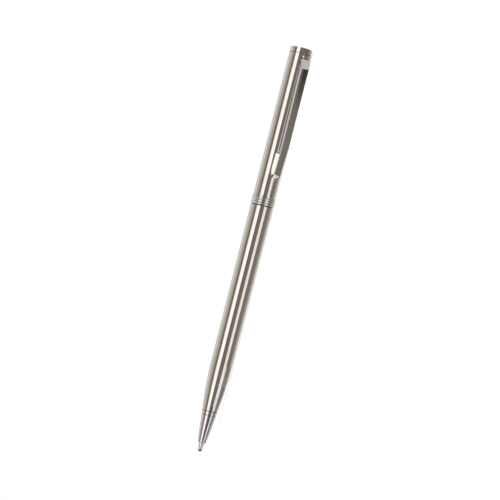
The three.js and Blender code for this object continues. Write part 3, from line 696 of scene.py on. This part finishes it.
ball = {"radius": 0.5, "steps": 20, "roundSteps": 48}
outline = []
for step in range(ball["steps"] + 1):
    angle = math.pi * step / ball["steps"]
    radius = ball["radius"] * math.sin(angle) if 0 < step < ball["steps"] else 0
    outline.append((radius, ball["radius"] * (1 - math.cos(angle))))
writingBall = turned("writingBall", outline, closed=False, steps=ball["roundSteps"])
settle(writingBall, "ball", "carbide", ballCarbide, "writing_ball")

tube = {"radius": 1.55, "bore": 1.25, "low": 11.0, "top": 101.55, "crimp": 12.6, "crimpDepth": 0.06,
        "crimpHalf": 0.3, "edge": 0.06, "smoothAngle": 20}
outline = [(tube["bore"], tube["low"]), (tube["radius"], tube["low"]),
           (tube["radius"], tube["crimp"] - tube["crimpHalf"]),
           (tube["radius"] - tube["crimpDepth"], tube["crimp"]),
           (tube["radius"], tube["crimp"] + tube["crimpHalf"]),
           (tube["radius"], tube["top"]), (tube["bore"], tube["top"])]
refillTube = turned("refillTube", outline, [(1, tube["edge"]), (5, tube["edge"])],
                    smoothAngle=tube["smoothAngle"])
settle(refillTube, "refill", "brass", refillBrass, "refill_tube")

core = {
    "bore": 1.95, "low": 68.15, "ferrule": 2.7, "edge": 0.25, "lines": (70.1, 71.2), "lineDepth": 0.05,
    "lineHalf": 0.06, "ringHeight": 74.65, "ringFloor": 2.35, "ringGroove": 0.46, "spigot": 82.35,
    "flange": 2.95, "flangeTop": 84.1, "tube": 2.35, "dragHeight": 88.2, "dragFloor": 2.15,
    "dragGroove": 0.36, "retainerHeight": 121.925, "retainerFloor": 2.13, "retainerGroove": 0.55,
    "top": 122.65, "slotMiddle": 113.55, "slotLength": 6.0, "slotWide": 1.0, "slotThrough": 9.4,
    "steps": 96,
}


def grooveIn(radius, floor, height, width):  # a ring groove's outline, from its lower edge up
    return [(radius, height - width / 2), (floor, height - width / 2),
            (floor, height + width / 2), (radius, height + width / 2)]


outline = [(core["bore"], core["low"]), (core["ferrule"], core["low"])]
for height in core["lines"]:  # fine turned lines
    outline += [(core["ferrule"], height), (core["ferrule"] - core["lineDepth"], height + core["lineHalf"]),
                (core["ferrule"], height + 2 * core["lineHalf"])]
outline += grooveIn(core["ferrule"], core["ringFloor"], core["ringHeight"], core["ringGroove"])
outline += [(core["ferrule"], core["spigot"]), (core["flange"], core["spigot"]),
            (core["flange"], core["flangeTop"]), (core["tube"], core["flangeTop"])]
outline += grooveIn(core["tube"], core["dragFloor"], core["dragHeight"], core["dragGroove"])
outline += grooveIn(core["tube"], core["retainerFloor"], core["retainerHeight"], core["retainerGroove"])
outline += [(core["tube"], core["top"]), (core["bore"], core["top"])]
guideTube = turned("guideTube", outline, [(1, core["edge"])], steps=core["steps"])
cutSlot(guideTube, place(0, core["slotMiddle"]), (core["slotLength"], core["slotThrough"], core["slotWide"]))
settle(guideTube, "mechanism_core", "brass", turnedBrass, "guide_tube")

gripRing = {"middle": 2.55, "half": 0.18, "height": 74.65, "pressed": 0.012, "steps": 20, "roundSteps": 96}
gripReach = gripRing["half"] - gripRing["pressed"]  # flat where it grips
outline = []
for step in range(gripRing["steps"]):
    angle = 2 * math.pi * step / gripRing["steps"]
    outline.append((gripRing["middle"] + min(math.cos(angle) * gripRing["half"], gripReach),
                    gripRing["height"] + gripRing["half"] * math.sin(angle)))
ferruleRing = turned("ferruleRing", outline, steps=gripRing["roundSteps"])
settle(ferruleRing, "mechanism_core", "black_rubber", blackRubber, "ferrule_ring")

for node, material in (
        ("thrust_washer", mouldedNylon), ("drag_ring", mouldedNylon), ("retaining_ring", turnedSteel),
        ("drive_sleeve", turnedSteel), ("sleeve_spacer", turnedBrass), ("clip_plug", turnedBrass),
        ("refill_head", darkPlastic), ("plunger", turnedBrass), ("drive_pin", turnedSteel)):
    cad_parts[node].material_slots[0].material = material
print("mechanism dressed")


# stage

stage = {
    "floorSize": 30.0, "floorColour": (0.87, 0.87, 0.87), "floorGlow": 0.1, "floorRoughness": 0.9,
    "floorGloss": 0.1, "worldLight": 0.11, "lampStrength": 3.25, "lampColour": (1.0, 0.99, 0.98),
    "lampHeight": 80.0, "lampSide": 12.0, "lampSoft": 8.0, "reach": (-0.6, 0.6), "cardDistance": 0.5,
}
view = {"side": -0.84, "height": 0.5, "distance": 0.368, "lens": 82.2119, "sensor": 36.0, "turn": 14.234,
        "aim": (0.000217, 0.000513, 0.003990), "nearest": 0.01}


def addCamera():
    side, rise, turn = (math.radians(view[key]) for key in ("side", "height", "turn"))
    away = Vector((-math.sin(side) * math.cos(rise), -math.cos(side) * math.cos(rise), math.sin(rise)))
    along = Vector((1, 0, 0))
    along = (along - away * along.dot(away)).normalized()
    level = (-away).cross(along)
    right = math.sin(turn) * along + math.cos(turn) * level
    upright = math.cos(turn) * along - math.sin(turn) * level
    spot = Vector(view["aim"]) + view["distance"] * away
    bpy.ops.object.camera_add(location=spot)
    camera = bpy.context.object
    camera.matrix_world = Matrix.Translation(spot) @ Matrix((right, upright, away)).transposed().to_4x4()
    camera.data.lens = view["lens"]
    camera.data.sensor_width = view["sensor"]
    camera.data.clip_start = view["nearest"]
    bpy.context.scene.camera = camera


def whiteForEyes(tree):  # 1 where the camera sees it, straight, mirrored or through glass
    path = addNode(tree, "ShaderNodeLightPath")
    seen = addNode(tree, "ShaderNodeMath", {"operation": "MAXIMUM"})
    mirrored = addNode(tree, "ShaderNodeMath", {"operation": "MAXIMUM"})
    tree.links.new(path.outputs["Is Camera Ray"], seen.inputs[0])
    tree.links.new(path.outputs["Is Glossy Ray"], seen.inputs[1])
    tree.links.new(seen.outputs[0], mirrored.inputs[0])
    tree.links.new(path.outputs["Is Transmission Ray"], mirrored.inputs[1])
    return mirrored.outputs[0]


def addFloor():
    bpy.ops.mesh.primitive_plane_add(size=stage["floorSize"], location=(0, 0, 0))
    floor = bpy.context.object
    floor.name = "floor"
    material = bpy.data.materials.new("paleFloor")
    material.use_nodes = True
    tree = material.node_tree
    shader = tree.nodes["Principled BSDF"]
    shader.inputs["Base Color"].default_value = (*stage["floorColour"], 1)
    shader.inputs["Roughness"].default_value = stage["floorRoughness"]
    shader.inputs["Specular IOR Level"].default_value = stage["floorGloss"]
    shader.inputs["Emission Color"].default_value = (1, 1, 1, 1)
    glow = addNode(tree, "ShaderNodeMath", {"operation": "MULTIPLY"}, {1: stage["floorGlow"]})
    tree.links.new(whiteForEyes(tree), glow.inputs[0])
    tree.links.new(glow.outputs[0], shader.inputs["Emission Strength"])
    floor.data.materials.append(material)


def addWorld():
    world = bpy.data.worlds.new("paleRoom")
    bpy.context.scene.world = world
    world.use_nodes = True
    tree = world.node_tree
    background = tree.nodes["Background"]
    background.inputs["Color"].default_value = (1, 1, 1, 1)
    strength = addNode(tree, "ShaderNodeMapRange", None,
                       {"From Min": 0.0, "From Max": 1.0, "To Min": stage["worldLight"], "To Max": 1.0})
    tree.links.new(whiteForEyes(tree), strength.inputs["Value"])
    tree.links.new(strength.outputs["Result"], background.inputs["Strength"])


def addLamp():
    rise, side = math.radians(stage["lampHeight"]), math.radians(stage["lampSide"])
    toLamp = Vector((math.sin(side) * math.cos(rise), math.cos(side) * math.cos(rise), math.sin(rise)))
    bpy.ops.object.light_add(type="SUN", location=toLamp)
    lamp = bpy.context.object
    lamp.rotation_euler = toLamp.to_track_quat("Z", "Y").to_euler()
    lamp.data.energy = stage["lampStrength"]
    lamp.data.angle = math.radians(stage["lampSoft"])
    lamp.data.color = stage["lampColour"]
    lamp.visible_glossy = False


def addCard(name, low, high, colour, strength, reach=stage["reach"]):
    # a glowing strip that only metal reflects, a painted reflection, between two places (Y, Z), as far along
    # X as reach says
    middleX = (reach[0] + reach[1]) / 2
    low, high = Vector((middleX, *low)), Vector((middleX, *high))
    middle, edge = (low + high) / 2, high - low
    squareOn = reach[0] == reach[1]  # a card across the pen
    turn = (0, math.pi / 2, 0) if squareOn else (math.atan2(edge.z, edge.y), 0, 0)
    bpy.ops.mesh.primitive_plane_add(size=1.0, location=middle, rotation=turn)
    card = bpy.context.object
    card.name = name
    card.scale = (edge.z, edge.y, 1) if squareOn else (reach[1] - reach[0], edge.length, 1)
    material = bpy.data.materials.new(name)
    material.use_nodes = True
    tree = material.node_tree
    tree.nodes.clear()
    end = addNode(tree, "ShaderNodeOutputMaterial")
    glow = addNode(tree, "ShaderNodeEmission", None, {"Strength": strength})
    if isinstance(colour[0], float):
        glow.inputs["Color"].default_value = (*colour, 1)
    else:  # colours at places along X, in turn
        coordinates = addNode(tree, "ShaderNodeTexCoord")
        parts = addNode(tree, "ShaderNodeSeparateXYZ")
        along = addNode(tree, "ShaderNodeMath", {"operation": "ADD"}, {1: 0.5})
        ramp = addNode(tree, "ShaderNodeValToRGB")
        for index, (spot, shade) in enumerate(colour):
            share = (spot - reach[0]) / (reach[1] - reach[0])
            stop = ramp.color_ramp.elements[index] if index < 2 else ramp.color_ramp.elements.new(share)
            stop.position = share
            stop.color = (*shade, 1)
        tree.links.new(coordinates.outputs["Object"], parts.inputs[0])
        tree.links.new(parts.outputs["X"], along.inputs[0])
        tree.links.new(along.outputs[0], ramp.inputs[0])
        tree.links.new(ramp.outputs["Color"], glow.inputs["Color"])
    tree.links.new(glow.outputs[0], end.inputs["Surface"])
    card.data.materials.append(material)
    card.visible_camera = False
    card.visible_diffuse = False
    card.visible_shadow = False
    card.visible_transmission = False


def onArc(angle):  # a place (Y, Z) above the camera's side, at an angle in degrees
    distance = stage["cardDistance"]
    return (-math.cos(math.radians(angle)) * distance, math.sin(math.radians(angle)) * distance)


addFloor()
addWorld()
addLamp()
# painted reflections: glowing cards, which light nothing, that only metal reflects
cards = {  # low, high, colour or colours along X, strength, reach
    # painted reflections of a dark room, low round the pen
    "darkWall": ((-0.5, 0.0004), (-0.5, 0.128), (0.2, 0.18, 0.165), 1.0, (-2.0, 2.0)),
    "tipwardDark": ((-0.5, 0.0004), (0.0, 0.3), (0.2, 0.18, 0.165), 1.0, (-0.65, -0.65)),
    "capwardDark": ((-0.5, 0.0004), (0.0, 0.3), (0.2, 0.18, 0.165), 1.0, (0.65, 0.65)),
    # sheets on the floor seen only in the metal: a dark far floor, a painted highlight stripe, the pen's own
    # shadow painted as shade, and the pale floor under and behind it
    "darkSheet": ((-0.5, 0.0003), (-0.0082, 0.0002), (0.24, 0.205, 0.175), 1.0),
    "glintSheet": ((-0.0068, 0.00001), (-0.0052, 0.00001), (1.0, 0.975, 0.93), 1.28, (-0.05, 0.024)),
    "shadeSheet": ((-0.0041, 0.00001), (-0.00158, 0.00001), (0.28, 0.23, 0.21), 1.0, (-0.038, 0.0149)),
    "bandShadeSheet": ((-0.0032, 0.00001), (-0.00158, 0.00001), (0.34, 0.29, 0.27), 1.0, (0.0149, 0.0179)),
    "capShadeSheet": ((-0.0041, 0.00001), (-0.00158, 0.00001), (0.28, 0.23, 0.21), 1.0, (0.0179, 0.6)),
    "underFloorReflection": ((-0.00158, 0.00002), (-0.00116, 0.00002), (0.42, 0.36, 0.31), 1.0, (-0.038, 0.6)),
    "rearFloorReflection": ((-0.00116, 0.00002), (0.06, 0.00002),
                  ((-0.6, (0.74, 0.73, 0.72)), (-0.056, (0.74, 0.73, 0.72)), (-0.03, (0.6, 0.56, 0.48)),
                   (0.6, (0.6, 0.56, 0.48))), 1.0),
    # painted shade seen in the nose and its neck
    "noseShadeSheet": ((-0.0021, 0.00003), (-0.0005, 0.00003), (0.27, 0.24, 0.23), 1.0, (-0.6, -0.045)),
    "noseShadeLine": ((-0.0031, 0.00003), (-0.0021, 0.00003), (0.27, 0.24, 0.25), 1.0, (-0.6, -0.0537)),
    "noseShade": ((-0.02, 0.0003), (-0.0061, 0.0003), (0.13, 0.1, 0.115), 1.0, (-0.6, -0.0537)),
    "neckShadeSheet": ((-0.0017, 0.00003), (-0.0008, 0.00003), (0.31, 0.27, 0.24), 1.0, (-0.045, -0.038)),
    # arcs over the camera's side: a painted reflection of a softbox and the studio round it, which lights
    # nothing
    "softBoxReflection": (onArc(14.3), onArc(44.5), (1.0, 0.985, 0.95), 1.5),
    "warmEdge": (onArc(44.5), onArc(51.3), (1.02, 0.945, 0.75), 1.0),
    "brownCard": (onArc(51.3), onArc(73), (0.23, 0.185, 0.12), 1.0, (-2.0, 2.0)),
    "greyCard": (onArc(73), onArc(97), (0.54, 0.49, 0.46), 1.0),
    "paleCard": (onArc(97), onArc(108), (0.62, 0.6, 0.58), 1.0),
    "backCard": (onArc(108), onArc(149), (0.88, 0.87, 0.85), 1.0),
    "backDark": (onArc(149), onArc(163), (0.26, 0.24, 0.22), 1.0),
    "lowCard": (onArc(163), onArc(179), (0.9, 0.89, 0.87), 1.0),
    # painted shadow seen in the clip's face, darker towards its shoulder, and painted highlights beside the
    # clip, on its shoulder and on its lip
    "clipShadowSheet": ((-0.0045, 0.00004), (-0.0024, 0.00004),
                  ((0.025, (0.25, 0.225, 0.19)), (0.046, (0.24, 0.215, 0.18)), (0.053, (0.13, 0.11, 0.085)),
                   (0.0602, (0.05, 0.046, 0.03))), 1.0, (0.0249, 0.0606)),
    "clipGlintSheet": ((-0.0135, 0.00025), (-0.0062, 0.00025),
                       ((0.0325, (0.76, 0.73, 0.69)), (0.048, (0.7, 0.68, 0.66)),
                        (0.0602, (0.5, 0.48, 0.46))), 1.0, (0.0325, 0.0606)),
    "clipEdgeShadeSheet": ((-0.0058, 0.00004), (-0.0045, 0.00004),
                      ((0.025, (0.26, 0.245, 0.225)), (0.05, (0.22, 0.215, 0.2)),
                       (0.0602, (0.14, 0.145, 0.145))),
                      1.0, (0.0249, 0.0606)),
    "shoulderHighlightSheet": ((-0.0058, 0.00004), (-0.0024, 0.00004), (0.74, 0.7, 0.69), 1.0, (0.0606, 0.0642)),
    "lipHighlightSheet": ((-0.0064, 0.00004), (-0.0026, 0.00004), (1.0, 0.97, 0.95), 1.25, (0.0245, 0.0249)),
    "lipHighlightCard": ((-0.0041, 0.0001), (-0.0026, 0.0023), (1.0, 0.97, 0.95), 1.25, (0.024, 0.024)),
    # painted shade and a painted glint at the cap's end
    "capEndShadeSheet": ((-0.0093, 0.00006), (-0.0026, 0.00006), (0.2, 0.175, 0.16), 1.0, (0.0645, 0.6)),
    "endSpark": ((-0.0073, 0.0001), (-0.0054, 0.0001), (1.0, 0.99, 0.98), 1.6, (0.0642, 0.0654)),
}
for name, (low, high, colour, strength, *reach) in cards.items():
    addCard(name, low, high, colour, strength, *reach)
addCamera()
bpy.context.scene.view_settings.view_transform = "Standard"
print("stage set")
